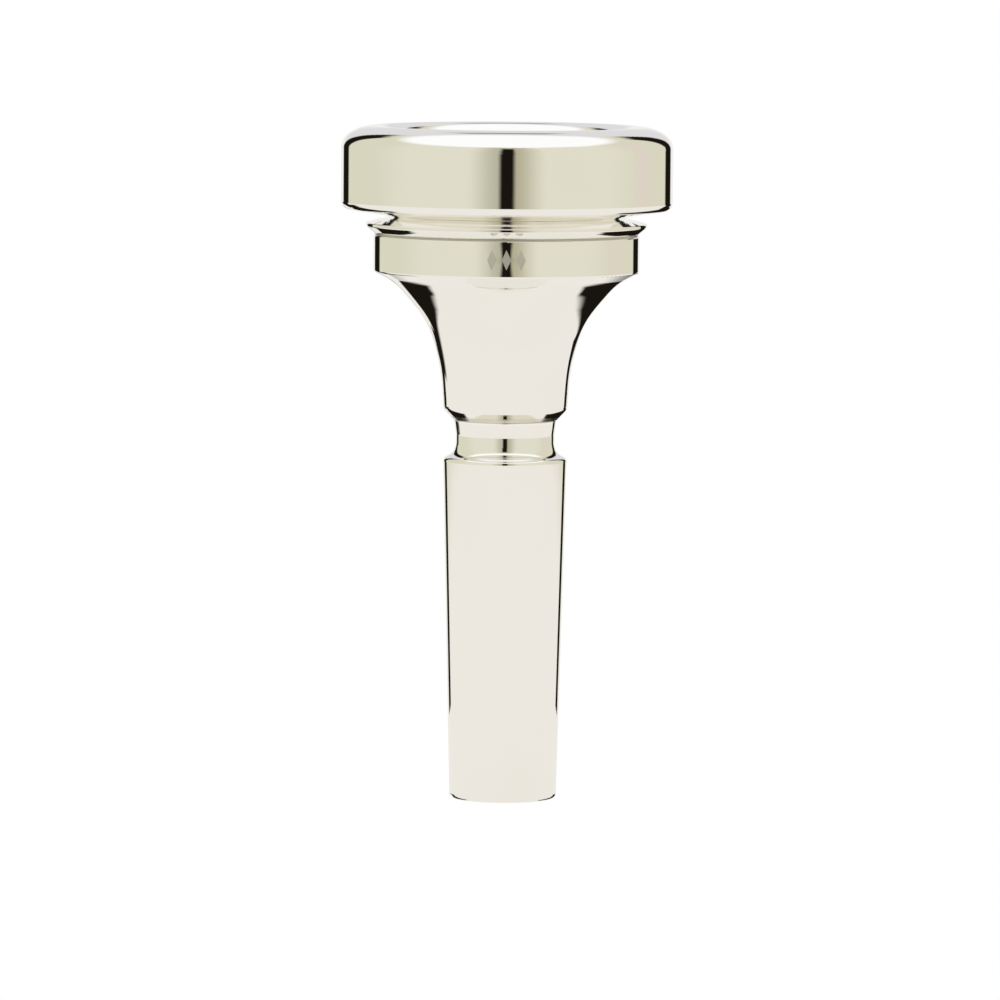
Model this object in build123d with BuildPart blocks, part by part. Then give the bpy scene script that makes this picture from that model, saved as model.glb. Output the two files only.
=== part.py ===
from build123d import *
import os

# Take-apart mouthpiece for a large-shank trombone, in silver-plated brass.
# It is turned in three pieces that screw together: rim, cup and shank.
# Sizes are in millimetres. The origin is the centre of the shank's tip and +Z runs up the bore.
# Heights called "below" are measured down from the crest of the rim.
# Each flare station is the outside radius of the cup and how far it lies below the crest.

os.makedirs("parts", exist_ok=True)

# ---------- driving dimensions ----------

overall_length = 80.1

# rim
rim_diameter = 39.4
crest_radius = 15.6
bite_radius = 12.95
bite_below = 2.0
band_top_below = 2.6
band_bottom_below = 9.75
band_corner = 0.9
undercut_radius = 14.3
undercut_round = 0.3

# joint between rim and cup
rim_seat_below = 10.65
rim_seat_radius = 13.45
rim_spigot_length = 6.5
rim_thread_radius = 12.7

# cup
bowl_slope = 0.186
bowl_depth = 27.0
bowl_wall_pull = 0.5
bowl_throat_pull = 0.45
flange_radius = 16.7
flange_top_below = 11.5
flange_thickness = 0.4
notch_below = 12.85
notch_radius = 15.55
barrel_radius = 15.8
barrel_top_below = 13.0
barrel_bottom_below = 17.25
flare_stations = [(14.2, 18.1), (11.6, 20.45), (9.55, 23.2), (8.2, 27.0), (7.52, 31.5)]
body_foot_radius = 7.38
cup_bottom_below = 34.9
cup_bottom_radius = 6.12
cup_bottom_bevel = 1.3
lip_rounds = [0.1, 0.15, 0.15, 0.05, 0.12, 0.25]
bevel_round = 1.0
foot_round = 0.2

# joint between cup and shank
shank_spigot_length = 7.5
shank_thread_radius = 5.5
seal_land = 2.5
shank_seal_above_seat = 1.7

# shank
tip_radius = 6.35
taper_per_side = 1 / 40
tip_round = 0.6
shank_top_below = 39.48
shoulder_height = 0.73
shoulder_round = 0.55
neck_sweep = 1.6
neck_radius = 5.87
waist_below = 36.65
waist_round = 1.5
neck_top_radius = 6.1
neck_edge_round = 0.1
throat_radius = 3.75
throat_length = 8.0
backbore_radius = 5.3

# thread form, and the play between the two sides of a screwed joint
pitch = 1.0
thread_depth = 0.54
thread_land = 0.14
flank_slope = 2 / 3
thread_play = 0.08
thread_start_angle = 150
groove_half = 0.55
seat_gap = 0.02
end_gap = 0.1
relief_width = 1.1

# rubber rings in the joints
rim_seal_section = 1.0
shank_seal_section = 0.8
seal_play = 0.05

# generic mark on the barrel: a row of three engraved lozenges
mark_count = 3
mark_width = 1.1
mark_height = 2.4
mark_pitch = 1.7
mark_depth = 0.12


def height(below):
    """Height above the tip of something that lies this far below the crest."""
    return overall_length - below


# ---------- worked-out sizes ----------

rim_radius = rim_diameter / 2
rim_seat_z = height(rim_seat_below)
rim_spigot_end_z = rim_seat_z - rim_spigot_length
cup_bottom_z = height(cup_bottom_below)
shank_spigot_top_z = cup_bottom_z + shank_spigot_length
rim_groove_width = rim_seal_section + 2 * seal_play
rim_seal_z = rim_seat_z - rim_groove_width / 2
shank_seal_z = cup_bottom_z + shank_seal_above_seat


def bowl_radius(below):
    """Radius of the straight upper wall of the bowl."""
    return bite_radius - bowl_slope * (below - bite_below)


def thread_groove(root_radius, opens, width, low, high):
    """Helical groove that cuts one side of a thread.

    root_radius is the groove's narrow bottom, and opens is +1 for a groove that widens
    outwards (on a spigot) or -1 for one that widens inwards (in a socket). width is the
    width of the bottom, and its middle climbs from the height low to the height high.
    """
    flank = thread_depth + thread_play
    half_bottom = width / 2
    half_mouth = half_bottom + flank_slope * flank
    with BuildPart() as groove:
        with BuildLine() as path:
            Helix(pitch=pitch, height=high - low, radius=root_radius, center=(0, 0, low))
        with BuildSketch(Plane(origin=(root_radius, 0, low), x_dir=(1, 0, 0), z_dir=(0, -1, 0))):
            with BuildLine():
                Polyline(
                    (0, -half_bottom),
                    (opens * flank, -half_mouth),
                    (opens * (flank + thread_play), -half_mouth),
                    (opens * (flank + thread_play), half_mouth),
                    (opens * flank, half_mouth),
                    (0, half_bottom),
                    close=True,
                )
            make_face()
        sweep(path=path.line, is_frenet=True)
    return groove.part.rotate(Axis.Z, thread_start_angle)


# ---------- rim ----------

rim_thread_top_z = rim_seat_z - rim_groove_width
rim_core = rim_thread_radius - thread_depth
rim_groove_low_z = rim_spigot_end_z - pitch / 2 - groove_half
rim_groove_high_z = rim_thread_top_z + rim_groove_width / 2
rim_cut = thread_groove(rim_core, 1, thread_land, rim_groove_low_z, rim_groove_high_z)
rim_ring_floor = rim_thread_radius + 2 * thread_play - rim_seal_section - 2 * seal_play

with BuildPart() as rim:
    with BuildSketch(Plane.XZ):
        with BuildLine():
            outer_round = EllipticalCenterArc(
                (crest_radius, height(band_top_below)),
                rim_radius - crest_radius,
                band_top_below,
                start_angle=0,
                arc_size=90,
            )
            inner_round = EllipticalCenterArc(
                (crest_radius, height(bite_below)),
                crest_radius - bite_radius,
                bite_below,
                start_angle=90,
                arc_size=90,
            )
            FilletPolyline(
                outer_round @ 0,
                (rim_radius, height(band_bottom_below)),
                (undercut_radius, rim_seat_z + seat_gap),
                (rim_ring_floor, rim_seat_z + seat_gap),
                radius=[band_corner, undercut_round],
            )
            Polyline(
                (rim_ring_floor, rim_seat_z + seat_gap),
                (rim_ring_floor, rim_thread_top_z),
                (rim_core, rim_thread_top_z),
                (rim_thread_radius, rim_thread_top_z - thread_depth),
                (rim_thread_radius, rim_spigot_end_z + thread_depth),
                (rim_core, rim_spigot_end_z),
                (bowl_radius(rim_seat_below + rim_spigot_length), rim_spigot_end_z),
                inner_round @ 1,
            )
        make_face()
    revolve(axis=Axis.Z)
    add(rim_cut, mode=Mode.SUBTRACT)

rim.part.label = "rim"
export_step(rim.part, "parts/rim.step")


# ---------- rim seal ring ----------

rim_ring_centre = rim_ring_floor + seal_play + rim_seal_section / 2

with BuildPart() as rim_seal_ring:
    with BuildSketch(Plane.XZ):
        with Locations((rim_ring_centre, rim_seal_z)):
            Circle(rim_seal_section / 2)
    revolve(axis=Axis.Z)

rim_seal_ring.part.label = "rim_seal_ring"
export_step(rim_seal_ring.part, "parts/rim_seal_ring.step")


# ---------- cup ----------

rim_socket_floor_z = rim_spigot_end_z - end_gap
rim_socket_bore = rim_core + thread_play
rim_socket_relief = rim_thread_radius + 2 * thread_play
rim_socket_thread_z = rim_thread_top_z - thread_depth / 2
shank_socket_roof_z = shank_spigot_top_z + end_gap
shank_core = shank_thread_radius - thread_depth
shank_socket_bore = shank_core + thread_play
shank_socket_relief = shank_thread_radius + 2 * thread_play
shank_thread_low_z = cup_bottom_z + seal_land + relief_width
shank_groove_low_z = shank_thread_low_z - relief_width / 2
shank_groove_high_z = shank_spigot_top_z + groove_half
shank_ring_inner = shank_thread_radius + seal_play
shank_ring_floor = shank_ring_inner + shank_seal_section + seal_play
shank_ring_half = shank_seal_section / 2 + seal_play
bowl_end_below = rim_seat_below + rim_spigot_length + end_gap
bowl_end_radius = bowl_radius(bowl_end_below)
throat_z = height(bowl_depth)
bowl_height = rim_socket_floor_z - throat_z
flare_line = [(radius, height(below)) for radius, below in flare_stations]
body_slope = (
    body_foot_radius - flare_line[-1][0],
    cup_bottom_z + cup_bottom_bevel - flare_line[-1][1],
)

rim_socket_cut = thread_groove(
    rim_thread_radius + thread_play,
    -1,
    thread_land + thread_play,
    rim_groove_low_z + 1.5 * pitch,
    rim_thread_top_z + groove_half,
)
shank_socket_cut = thread_groove(
    shank_thread_radius + thread_play,
    -1,
    thread_land + thread_play,
    shank_groove_low_z - pitch / 2,
    shank_socket_roof_z - relief_width / 2,
)

with BuildPart() as mark_cutter:
    with BuildSketch(Plane.XZ):
        with GridLocations(mark_pitch, 1, mark_count, 1):
            Polygon(
                (mark_width / 2, 0),
                (0, mark_height / 2),
                (-mark_width / 2, 0),
                (0, -mark_height / 2),
            )
    extrude(amount=2 * barrel_radius)
    Cylinder(barrel_radius - mark_depth, mark_height, mode=Mode.SUBTRACT)

with BuildPart() as cup:
    with BuildSketch(Plane.XZ):
        with BuildLine():
            lip = FilletPolyline(
                (rim_socket_relief, rim_seat_z),
                (rim_seat_radius, rim_seat_z),
                (flange_radius, height(flange_top_below)),
                (flange_radius, height(flange_top_below + flange_thickness)),
                (notch_radius, height(notch_below)),
                (barrel_radius, height(barrel_top_below)),
                (barrel_radius, height(barrel_bottom_below)),
                flare_line[0],
                radius=lip_rounds,
            )
            flare = Spline(
                *flare_line,
                tangents=[lip % 1, body_slope],
            )
            foot = FilletPolyline(
                flare @ 1,
                (body_foot_radius, cup_bottom_z + cup_bottom_bevel),
                (cup_bottom_radius, cup_bottom_z),
                (shank_socket_relief, cup_bottom_z),
                radius=[bevel_round, foot_round],
            )
            Polyline(
                foot @ 1,
                (shank_socket_relief, shank_seal_z - shank_ring_half),
                (shank_ring_floor, shank_seal_z - shank_ring_half),
                (shank_ring_floor, shank_seal_z + shank_ring_half),
                (shank_socket_relief, shank_seal_z + shank_ring_half),
                (shank_socket_relief, shank_thread_low_z - thread_depth),
                (shank_socket_bore, shank_thread_low_z),
                (shank_socket_bore, shank_socket_roof_z - relief_width),
                (shank_socket_relief, shank_socket_roof_z - relief_width),
                (shank_socket_relief, shank_socket_roof_z),
                (throat_radius, shank_socket_roof_z),
                (throat_radius, throat_z),
            )
            bowl = Bezier(
                (throat_radius, throat_z),
                (throat_radius, throat_z + bowl_throat_pull * bowl_height),
                (
                    bowl_end_radius - bowl_slope * bowl_wall_pull * bowl_height,
                    rim_socket_floor_z - bowl_wall_pull * bowl_height,
                ),
                (bowl_end_radius, rim_socket_floor_z),
            )
            Polyline(
                bowl @ 1,
                (rim_socket_relief, rim_socket_floor_z),
                (rim_socket_relief, rim_socket_floor_z + relief_width),
                (rim_socket_bore, rim_socket_floor_z + relief_width),
                (rim_socket_bore, rim_socket_thread_z),
                (rim_socket_relief, rim_thread_top_z),
                (rim_socket_relief, rim_seat_z),
            )
        make_face()
    revolve(axis=Axis.Z)
    add(rim_socket_cut, mode=Mode.SUBTRACT)
    add(shank_socket_cut, mode=Mode.SUBTRACT)
    mark_z = (height(barrel_top_below) + height(barrel_bottom_below)) / 2
    add(mark_cutter.part.moved(Location((0, 0, mark_z))), mode=Mode.SUBTRACT)

cup.part.label = "cup"
export_step(cup.part, "parts/cup.step")


# ---------- shank seal ring ----------

with BuildPart() as shank_seal_ring:
    with BuildSketch(Plane.XZ):
        with Locations((shank_ring_inner + shank_seal_section / 2, shank_seal_z)):
            Circle(shank_seal_section / 2)
    revolve(axis=Axis.Z)

shank_seal_ring.part.label = "shank_seal_ring"
export_step(shank_seal_ring.part, "parts/shank_seal_ring.step")


# ---------- shank ----------

shank_cut = thread_groove(
    shank_core, 1, thread_land, shank_groove_low_z, shank_groove_high_z
)
shank_top_z = height(shank_top_below)
shoulder_z = shank_top_z + shoulder_height
backbore_z = shank_spigot_top_z - throat_length

with BuildPart() as shank:
    with BuildSketch(Plane.XZ):
        with BuildLine():
            outside = FilletPolyline(
                (backbore_radius, 0),
                (tip_radius, 0),
                (tip_radius + taper_per_side * shank_top_z, shank_top_z),
                (neck_radius, shoulder_z),
                (neck_radius, height(waist_below)),
                (neck_top_radius, cup_bottom_z - seat_gap),
                (shank_thread_radius, cup_bottom_z - seat_gap),
                radius=[tip_round, shoulder_round, neck_sweep, waist_round, neck_edge_round],
            )
            Polyline(
                outside @ 1,
                (shank_thread_radius, cup_bottom_z + seal_land),
                (shank_core - thread_play, cup_bottom_z + seal_land),
                (shank_core - thread_play, shank_thread_low_z),
                (shank_core, shank_thread_low_z),
                (shank_thread_radius, shank_thread_low_z + thread_depth),
                (shank_thread_radius, shank_spigot_top_z - thread_depth),
                (shank_core, shank_spigot_top_z),
                (throat_radius, shank_spigot_top_z),
                (throat_radius, backbore_z),
                (backbore_radius, 0),
            )
        make_face()
    revolve(axis=Axis.Z)
    add(shank_cut, mode=Mode.SUBTRACT)

shank.part.label = "shank"
export_step(shank.part, "parts/shank.step")
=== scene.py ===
import math

import bpy
from mathutils import Matrix, Vector


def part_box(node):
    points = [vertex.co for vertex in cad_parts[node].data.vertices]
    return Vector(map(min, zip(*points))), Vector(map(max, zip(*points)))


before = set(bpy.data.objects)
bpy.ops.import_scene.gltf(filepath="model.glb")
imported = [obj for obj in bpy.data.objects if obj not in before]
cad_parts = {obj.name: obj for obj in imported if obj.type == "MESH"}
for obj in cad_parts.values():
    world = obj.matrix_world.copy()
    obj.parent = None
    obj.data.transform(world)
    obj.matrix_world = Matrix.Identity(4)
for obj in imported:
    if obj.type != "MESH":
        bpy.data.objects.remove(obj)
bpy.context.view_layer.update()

MM = 0.001

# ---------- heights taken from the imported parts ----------

crest_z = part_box("rim")[1].z
rim_spigot_end_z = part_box("rim")[0].z
rim_seat_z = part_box("cup")[1].z
cup_bottom_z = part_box("cup")[0].z
shank_spigot_top_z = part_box("shank")[1].z

# ---------- camera ----------

CAMERA_SIDE = -0.55 * MM
CAMERA_DISTANCE = 920 * MM
CAMERA_ABOVE_CREST = 31.7 * MM
AIM_BELOW_CREST = 44.5 * MM
CAMERA_ROLL_DEGREES = 0.42
CAMERA_NEAREST = 10 * MM
SENSOR_WIDTH = 36.0
VIEW_WIDTH = 1000 / 8.4 * MM

# ---------- studio colours, as they look on the polished metal ----------

WALL = (223, 220, 201)
WALL_SIDE = (215, 213, 190)
WALL_LEFT_OF_SLIT = (181, 179, 156)
WALL_RIGHT_OF_SLIT = (178, 172, 145)
WALL_PINK = (219, 210, 195)
FLOOR_GLOW = (236, 232, 223)
CEILING = (253, 253, 252)
BACKDROP = (238, 236, 230)
BACKDROP_HIGH = (220, 217, 217)
LAMP_ARM = (150, 148, 146)
GAP = (24, 20, 15)
PURE_WHITE = (255, 255, 255)

# ---------- the light tent, in degrees ----------
# "up" is the height above the horizon. The other angles are turned from straight in front of the
# object or straight behind it. A pair is where a soft edge starts and ends, and a third number is
# the softness of a band's two edges.

FLOOR_EDGE = (-6.6, -5.2)
CEILING_EDGE = (44, 54)
SIDE_WALL_EDGE = (70, 110)
SLIT_SHADE = (4, 30)
SLIT_SHADE_MIDDLE = (-1, 1)
PINK_BAND = (100, 122, 12)
BACKDROP_EDGE = (20, 23)
BACKDROP_SHADE_UP = (2, 12)
LAMP_ARM_SIDE = (4, 7)
LAMP_ARM_UP = (33, 41, 3)
SLIT_SIDE = (3.2, 7.0)
SLIT_FOOT = (-6.0, -5.2)
SLIT_TOP = (34, 46)
SIDE_GAP_BAND = (21.5, 36.5, 3)
SIDE_GAP_FOOT = (-3.8, -3.4)
SIDE_GAP_TOP = (36, 44)
FLOOR_GAP_TOP = (-10, -8)
FLOOR_GAP_LEFT = (-51, -43)
FLOOR_GAP_RIGHT = (43, 51)
FLOOR_GAP_RIGHT_PIVOT = 47.0
FLOOR_GAP_RIGHT_SLANT = 0.45
WHITE_PATCH_LEFT = 16
WHITE_PATCH_DOWN = 15
WHITE_PATCH_HALF_WIDTH = 16
WHITE_PATCH_HALF_HEIGHT = 6
WHITE_PATCH_EDGE = (0.7, 1.2)

# On the floor itself, as multiples of the depth that a ray has fallen when it gets there.
FLOOR_GAP_INNER = (0.38, 0.5)
FLOOR_GAP_NEAR = (1.5, 1.72)
FLOOR_GAP_NEAR_SLANT = 1.42
LEAST_FALL = 0.001

# ---------- dark flags beside the backdrop ----------
# Each row is its height in millimetres and the two angles in degrees off the backdrop's middle.

FLAG_DISTANCE = 280 * MM
FLAG_ROWS = [(-24, 27, 41), (20, 27, 41), (42, 22, 38), (58, 21, 36)]
FLAG_COLUMNS = 9

FLOOR_HALF_WIDTH = 6.0

# Two polished faces of a groove reflect each other many times before the light gets out.
MIRROR_BOUNCES = 20

# ---------- surface finishes ----------

SILVER = (0.955, 0.945, 0.915)
TARNISH = (0.80, 0.755, 0.66)
MACHINED = (0.80, 0.775, 0.72)
# Painted light: the whiter colour painted into the grooves, standing in for the bright light seen
# in the gaps.
GROOVE_PAINTED_LIGHT = (0.995, 0.99, 0.98)
ENGRAVED = (0.58, 0.56, 0.50)
RUBBER = (0.018, 0.018, 0.019)
RUBBER_WORN = (0.035, 0.034, 0.033)

# A pair of noise values is where an effect starts to show and where it is full.
TARNISH_NOISE = (0.45, 0.75)
FINE_HAZE_NOISE = (0.45, 0.8)
CLOUD_HAZE_NOISE = (0.4, 0.8)

TARNISH_SHARE = 0.10
MACHINED_SHARE = 0.8
ENGRAVED_SHARE = 0.8

POLISH_ROUGHNESS = 0.02
FINE_ROUGHNESS = 0.035
CLOUD_ROUGHNESS = 0.02
# Extra roughness in the grooves whose whiter colour is painted light.
GROOVE_ROUGHNESS = (0.02, 0.05)
MACHINED_ROUGHNESS = 0.17
ENGRAVED_ROUGHNESS = 0.28
RUBBER_ROUGHNESS = (0.45, 0.62)

SILVER_RELIEF = 0.004 * MM
CLOUD_RELIEF = 0.5
LATHE_RELIEF = (0.04, 1.0)
RUBBER_RELIEF = 0.01 * MM

ZONE_EDGE = 0.12
ENGRAVING_FLOOR_EDGE = 0.04
ENGRAVING_DEPTH = (1.0, 0.9)
ENGRAVING_FRONT = (-0.002, -0.001)


def linear(colour):
    """Scene-linear RGBA of an 8-bit sRGB colour."""
    out = []
    for value in colour:
        v = value / 255
        out.append(v / 12.92 if v <= 0.04045 else ((v + 0.055) / 1.055) ** 2.4)
    return (*out, 1.0)


def lit(colour):
    """The light that the silver needs to reflect to show this colour."""
    return (*(c / s for c, s in zip(linear(colour), SILVER)), 1.0)


def opaque(colour):
    return (*colour, 1)


class Graph:
    """Short ways to add nodes to a node tree."""

    def __init__(self, tree):
        self.tree = tree
        tree.nodes.clear()

    def node(self, kind, **settings):
        made = self.tree.nodes.new(kind)
        for key, value in settings.items():
            setattr(made, key, value)
        return made

    def put(self, value, socket):
        """Links a socket to this one, or sets it to a plain value."""
        if isinstance(value, bpy.types.NodeSocket):
            self.tree.links.new(value, socket)
        else:
            socket.default_value = value

    def math(self, operation, *values):
        made = self.node("ShaderNodeMath", operation=operation)
        for value, socket in zip(values, made.inputs):
            self.put(value, socket)
        return made.outputs[0]

    def add(self, first, second):
        return self.math("ADD", first, second)

    def times(self, *values):
        product = values[0]
        for value in values[1:]:
            product = self.math("MULTIPLY", product, value)
        return product

    def highest(self, *values):
        result = values[0]
        for value in values[1:]:
            result = self.math("MAXIMUM", result, value)
        return result

    def rise(self, value, low, high):
        """0 below low, 1 above high and smooth between them."""
        made = self.node("ShaderNodeMapRange", interpolation_type="SMOOTHSTEP")
        self.put(value, made.inputs["Value"])
        made.inputs["From Min"].default_value = low
        made.inputs["From Max"].default_value = high
        return made.outputs[0]

    def fall(self, value, low, high):
        """1 below low, 0 above high."""
        return self.math("SUBTRACT", 1.0, self.rise(value, low, high))

    def band(self, value, low, high, soft):
        """1 between low and high, with soft sides of this width."""
        return self.times(
            self.rise(value, low - soft / 2, low + soft / 2),
            self.fall(value, high - soft / 2, high + soft / 2),
        )

    def mix(self, factor, first, second):
        """A colour that goes from first to second with factor."""
        made = self.node("ShaderNodeMix", data_type="RGBA")
        self.put(factor, made.inputs["Factor"])
        self.put(first, made.inputs[6])
        self.put(second, made.inputs[7])
        return made.outputs[2]

    def number(self, factor, first, second):
        """A number that goes from first to second with factor."""
        made = self.node("ShaderNodeMapRange")
        self.put(factor, made.inputs["Value"])
        made.inputs["To Min"].default_value = first
        made.inputs["To Max"].default_value = second
        return made.outputs[0]

    def noise(self, vector, scale, detail, roughness=0.5):
        made = self.node("ShaderNodeTexNoise")
        self.put(vector, made.inputs["Vector"])
        made.inputs["Scale"].default_value = scale
        made.inputs["Detail"].default_value = detail
        made.inputs["Roughness"].default_value = roughness
        return made.outputs["Fac"]


def new_material(name):
    """A material with an empty node graph."""
    material = bpy.data.materials.new(name)
    material.use_nodes = True
    return material, Graph(material.node_tree)


# ---------- studio ----------


def tent_colours(g, up, from_front, off_front, off_back):
    """The pale parts of the tent: walls, backdrop, floor and ceiling."""
    walls = g.mix(g.rise(off_front, *SIDE_WALL_EDGE), lit(WALL), lit(WALL_SIDE))
    right_of_slit = g.rise(from_front, *SLIT_SHADE_MIDDLE)
    beside_slit = g.mix(right_of_slit, lit(WALL_LEFT_OF_SLIT), lit(WALL_RIGHT_OF_SLIT))
    walls = g.mix(g.fall(off_front, *SLIT_SHADE), walls, beside_slit)
    walls = g.mix(g.band(from_front, *PINK_BAND), walls, lit(WALL_PINK))
    backdrop = g.mix(g.rise(up, *BACKDROP_SHADE_UP), lit(BACKDROP), lit(BACKDROP_HIGH))
    arm = g.times(g.fall(off_back, *LAMP_ARM_SIDE), g.band(up, *LAMP_ARM_UP))
    backdrop = g.mix(arm, backdrop, lit(LAMP_ARM))
    walls = g.mix(g.fall(off_back, *BACKDROP_EDGE), walls, backdrop)
    tent = g.mix(g.rise(up, *FLOOR_EDGE), lit(FLOOR_GLOW), walls)
    return g.mix(g.rise(up, *CEILING_EDGE), tent, lit(CEILING))


def tent_gaps(g, up, from_back, off_front, off_back, floor_side, floor_back):
    """Where the tent is open and dark: a slit in front, and gaps behind and on the floor."""
    slit_height = g.times(g.rise(up, *SLIT_FOOT), g.fall(up, *SLIT_TOP))
    slit = g.times(g.fall(off_front, *SLIT_SIDE), slit_height)
    gap_height = g.times(g.rise(up, *SIDE_GAP_FOOT), g.fall(up, *SIDE_GAP_TOP))
    side_gaps = g.times(g.band(off_back, *SIDE_GAP_BAND), gap_height)

    inner_edge = g.rise(floor_side, *FLOOR_GAP_INNER)
    slant = g.times(floor_side, FLOOR_GAP_NEAR_SLANT)
    near_edge = g.rise(g.add(floor_back, slant), *FLOOR_GAP_NEAR)
    slant = g.times(g.add(up, FLOOR_GAP_RIGHT_PIVOT), FLOOR_GAP_RIGHT_SLANT)
    right_edge = g.fall(g.add(from_back, slant), *FLOOR_GAP_RIGHT)
    left_edge = g.rise(from_back, *FLOOR_GAP_LEFT)
    top_edge = g.fall(up, *FLOOR_GAP_TOP)
    floor_gaps = g.times(inner_edge, near_edge, right_edge, left_edge, top_edge)

    patch_x = g.times(g.add(from_back, WHITE_PATCH_LEFT), 1 / WHITE_PATCH_HALF_WIDTH)
    patch_y = g.times(g.add(up, WHITE_PATCH_DOWN), 1 / WHITE_PATCH_HALF_HEIGHT)
    patch = g.add(g.times(patch_x, patch_x), g.times(patch_y, patch_y))
    floor_gaps = g.times(floor_gaps, g.rise(patch, *WHITE_PATCH_EDGE))
    return g.highest(slit, side_gaps, floor_gaps)


def light_tent(world):
    """A bright tent round the object, which only reflections see. The camera sees white."""
    world.use_nodes = True
    g = Graph(world.node_tree)
    direction = g.node("ShaderNodeTexCoord").outputs["Generated"]
    split = g.node("ShaderNodeSeparateXYZ")
    g.put(direction, split.inputs[0])
    x, y, z = split.outputs
    up = g.math("DEGREES", g.math("ARCSINE", z))
    from_back = g.math("DEGREES", g.math("ARCTAN2", x, y))
    from_front = g.math("DEGREES", g.math("ARCTAN2", x, g.times(y, -1.0)))
    off_back = g.math("ABSOLUTE", from_back)
    off_front = g.math("ABSOLUTE", from_front)
    down = g.highest(g.times(z, -1.0), LEAST_FALL)
    floor_side = g.math("DIVIDE", g.math("ABSOLUTE", x), down)
    floor_back = g.math("DIVIDE", y, down)

    tent = tent_colours(g, up, from_front, off_front, off_back)
    dark = tent_gaps(g, up, from_back, off_front, off_back, floor_side, floor_back)
    tent = g.mix(dark, tent, lit(GAP))

    seen = g.node("ShaderNodeLightPath").outputs["Is Camera Ray"]
    glow = g.node("ShaderNodeBackground")
    g.put(g.mix(seen, tent, linear(PURE_WHITE)), glow.inputs["Color"])
    output = g.node("ShaderNodeOutputWorld")
    g.put(glow.outputs[0], output.inputs["Surface"])


def studio_sheet(name, corners, faces, glow_name, colour):
    """A studio surface with one even brightness that casts no shadow."""
    material, g = new_material(glow_name)
    glow = g.node("ShaderNodeEmission")
    glow.inputs["Color"].default_value = colour
    output = g.node("ShaderNodeOutputMaterial")
    g.put(glow.outputs[0], output.inputs["Surface"])
    mesh = bpy.data.meshes.new(name)
    mesh.from_pydata(corners, [], faces)
    mesh.materials.append(material)
    sheet = bpy.data.objects.new(name, mesh)
    bpy.context.scene.collection.objects.link(sheet)
    sheet.visible_diffuse = False
    sheet.visible_shadow = False
    return sheet


def pale_floor():
    """A white floor. Reflections see the tent's own floor instead."""
    size = FLOOR_HALF_WIDTH
    corners = [(-size, -size, 0), (size, -size, 0), (size, size, 0), (-size, size, 0)]
    white = linear(PURE_WHITE)
    floor = studio_sheet("studio_floor", corners, [(0, 1, 2, 3)], "studio_white", white)
    floor.visible_glossy = False


def side_flag(side, side_name):
    """A dark flag beside the backdrop, seen only as the dark edge lines in the polish."""
    corners = []
    for level, inner, outer in FLAG_ROWS:
        for column in range(FLAG_COLUMNS):
            share = column / (FLAG_COLUMNS - 1)
            angle = math.radians(inner + (outer - inner) * share)
            across = side * math.sin(angle) * FLAG_DISTANCE
            back = math.cos(angle) * FLAG_DISTANCE
            corners.append((across, back, level * MM))
    faces = [
        (first, first + 1, first + 1 + FLAG_COLUMNS, first + FLAG_COLUMNS)
        for row in range(len(FLAG_ROWS) - 1)
        for first in range(row * FLAG_COLUMNS, (row + 1) * FLAG_COLUMNS - 1)
    ]
    name = "studio_flag_" + side_name
    flag = studio_sheet(name, corners, faces, "studio_dark." + side_name, lit(GAP))
    flag.visible_camera = False


def camera():
    """Level with the shank and a little above the rim, as a catalogue view."""
    data = bpy.data.cameras.new("camera")
    eye = Vector((CAMERA_SIDE, -CAMERA_DISTANCE, crest_z + CAMERA_ABOVE_CREST))
    aim = Vector((CAMERA_SIDE, 0, crest_z - AIM_BELOW_CREST))
    look = (aim - eye).to_track_quat("-Z", "Y").to_matrix().to_4x4()
    roll = Matrix.Rotation(math.radians(CAMERA_ROLL_DEGREES), 4, "Z")
    data.sensor_width = SENSOR_WIDTH
    data.lens = SENSOR_WIDTH * (aim - eye).length / VIEW_WIDTH
    data.clip_start = CAMERA_NEAREST
    shot = bpy.data.objects.new("camera", data)
    shot.matrix_world = Matrix.Translation(eye) @ look @ roll
    bpy.context.scene.collection.objects.link(shot)
    bpy.context.scene.camera = shot


# ---------- materials ----------


def principled(g, **constants):
    shader = g.node("ShaderNodeBsdfPrincipled")
    for key, value in constants.items():
        shader.inputs[key.replace("_", " ")].default_value = value
    output = g.node("ShaderNodeOutputMaterial")
    g.put(shader.outputs[0], output.inputs["Surface"])
    return shader


def raised(g, height, distance):
    """The normal of a surface with this fine relief."""
    bump = g.node("ShaderNodeBump")
    bump.inputs["Distance"].default_value = distance
    bump.inputs["Strength"].default_value = 1.0
    g.put(height, bump.inputs["Height"])
    return bump.outputs[0]


def lathe_coordinates(g):
    """The place, the radius and height in millimetres, a vector for fine turned lines, and y."""
    place = g.node("ShaderNodeTexCoord").outputs["Object"]
    split = g.node("ShaderNodeSeparateXYZ")
    g.put(place, split.inputs[0])
    x, y, z = split.outputs
    radius = g.times(g.math("SQRT", g.add(g.times(x, x), g.times(y, y))), 1 / MM)
    height = g.times(z, 1 / MM)
    around, along, across = 60.0, 9.0, 5.0
    lines = g.node("ShaderNodeCombineXYZ")
    g.put(g.times(x, around), lines.inputs[0])
    g.put(g.times(y, around), lines.inputs[1])
    g.put(g.add(g.times(height, along), g.times(radius, across)), lines.inputs[2])
    return place, radius, height, lines.outputs[0], y


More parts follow.
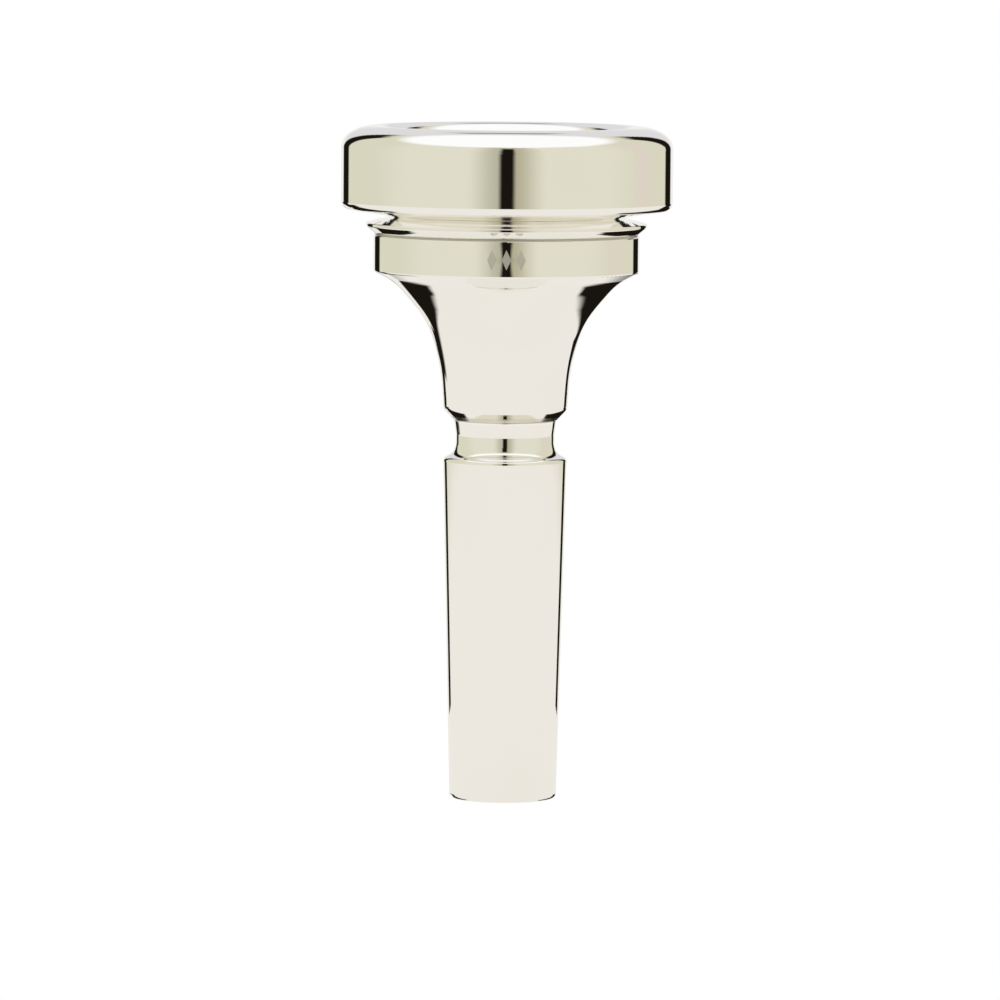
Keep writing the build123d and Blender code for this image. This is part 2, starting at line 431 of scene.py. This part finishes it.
def silver_finish(name, machined_zones, painted_light_and_roughness_zones, engraved=None):
    """Mirror-polished silver plate, with lathe marks in threads and bores.

    The painted-light zones are narrow grooves with a little more roughness, whose plate is
    painted whiter: painted light for the bright light seen in the gaps.
    A zone is (lowest radius, highest radius, lowest height, highest height) in millimetres.
    engraved is the highest radius, lowest height and highest height of the marks' floors.
    """
    material, g = new_material(name)
    place, radius, height, lines, y = lathe_coordinates(g)

    def zone_mask(zones):
        return g.highest(*(
            g.times(g.band(radius, r0, r1, ZONE_EDGE), g.band(height, z0, z1, ZONE_EDGE))
            for r0, r1, z0, z1 in zones
        ))

    cloud = g.noise(place, scale=60.0, detail=3.0)
    fine = g.noise(place, scale=420.0, detail=4.0, roughness=0.6)
    turned = g.noise(lines, scale=1.0, detail=3.0, roughness=0.65)
    machined = zone_mask(machined_zones)
    painted_light_and_roughness = zone_mask(painted_light_and_roughness_zones)

    tarnish = g.times(g.rise(cloud, *TARNISH_NOISE), TARNISH_SHARE)
    colour = g.mix(tarnish, opaque(SILVER), opaque(TARNISH))
    # Painted light: the grooves are painted whiter than the plate.
    colour = g.mix(painted_light_and_roughness, colour, opaque(GROOVE_PAINTED_LIGHT))
    colour = g.mix(g.times(machined, MACHINED_SHARE), colour, opaque(MACHINED))

    fine_haze = g.times(g.rise(fine, *FINE_HAZE_NOISE), FINE_ROUGHNESS)
    cloud_haze = g.times(g.rise(cloud, *CLOUD_HAZE_NOISE), CLOUD_ROUGHNESS)
    rough = g.add(g.add(POLISH_ROUGHNESS, fine_haze), cloud_haze)
    rough = g.add(rough, g.times(painted_light_and_roughness, g.number(cloud, *GROOVE_ROUGHNESS)))
    rough = g.add(rough, g.times(machined, MACHINED_ROUGHNESS))
    if engraved:
        r1, z0, z1 = engraved
        outermost, deepest = ENGRAVING_DEPTH
        floor = g.fall(radius, r1 - ENGRAVING_FLOOR_EDGE, r1)
        bowl_side = g.rise(radius, r1 - outermost, r1 - deepest)
        cut = g.times(floor, g.band(height, z0, z1, ZONE_EDGE), bowl_side)
        cut = g.times(cut, g.fall(y, *ENGRAVING_FRONT))
        rough = g.add(rough, g.times(cut, ENGRAVED_ROUGHNESS))
        colour = g.mix(g.times(cut, ENGRAVED_SHARE), colour, opaque(ENGRAVED))

    lathe_marks = g.times(turned, g.number(machined, *LATHE_RELIEF))
    relief = g.add(g.times(cloud, CLOUD_RELIEF), lathe_marks)

    shader = principled(g, Metallic=1.0)
    g.put(colour, shader.inputs["Base Color"])
    g.put(rough, shader.inputs["Roughness"])
    g.put(raised(g, relief, SILVER_RELIEF), shader.inputs["Normal"])
    return material


def rubber_finish():
    """Matt black nitrile rubber with a moulded grain."""
    material, g = new_material("seal_rubber")
    place = g.node("ShaderNodeTexCoord").outputs["Object"]
    grain = g.noise(place, scale=2600.0, detail=3.0)
    smear = g.noise(place, scale=300.0, detail=2.0)
    shader = principled(g, Specular_IOR_Level=0.45)
    g.put(g.mix(smear, opaque(RUBBER), opaque(RUBBER_WORN)), shader.inputs["Base Color"])
    g.put(g.number(smear, *RUBBER_ROUGHNESS), shader.inputs["Roughness"])
    g.put(raised(g, grain, RUBBER_RELIEF), shader.inputs["Normal"])
    return material


def rim_material():
    end = rim_spigot_end_z / MM
    seat = rim_seat_z / MM
    spigot = (11.0, 13.3, end - 0.2, seat - 0.1)
    # The undercut is painted whiter, which is painted light, and made a little rougher.
    undercut = (13.3, 16.2, seat - 0.1, seat + 0.9)
    return silver_finish("silver_plate.rim", [spigot], [undercut])


def cup_material():
    seat = rim_seat_z / MM
    foot = cup_bottom_z / MM
    rim_socket = (10.5, 13.3, rim_spigot_end_z / MM - 0.3, seat - 0.05)
    shank_socket = (3.9, 6.6, foot + 0.05, shank_spigot_top_z / MM + 0.3)
    # The flange top and the notch are painted whiter, which is painted light, and made a little
    # rougher.
    flange_top = (13.3, 16.5, seat - 0.85, seat + 0.1)
    notch = (15.3, 15.75, seat - 2.4, seat - 1.9)
    lozenges = (15.74, seat - 5.6, seat - 1.9)
    sockets = [rim_socket, shank_socket]
    return silver_finish("silver_plate.cup", sockets, [flange_top, notch], lozenges)


def shank_material():
    foot = cup_bottom_z / MM
    spigot = (4.4, 5.8, foot, shank_spigot_top_z / MM + 0.2)
    backbore = (3.0, 5.45, 0.15, foot + 1)
    # The neck top is painted whiter, which is painted light, and made a little rougher.
    neck_top = (5.8, 6.3, foot - 0.3, foot + 0.1)
    return silver_finish("silver_plate.shank", [spigot, backbore], [neck_top])


def dress(node, material):
    """Puts one material on a CAD node."""
    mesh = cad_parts[node].data
    mesh.materials.clear()
    mesh.materials.append(material)


# ---------- the scene ----------

scene = bpy.context.scene
scene.world = bpy.data.worlds.new("studio")
light_tent(scene.world)
pale_floor()
side_flag(1, "right")
side_flag(-1, "left")
camera()
scene.view_settings.view_transform = "Standard"
scene.cycles.max_bounces = MIRROR_BOUNCES
scene.cycles.glossy_bounces = MIRROR_BOUNCES

dress("rim", rim_material())
dress("cup", cup_material())
dress("shank", shank_material())
rubber = rubber_finish()
dress("rim_seal_ring", rubber)
dress("shank_seal_ring", rubber)
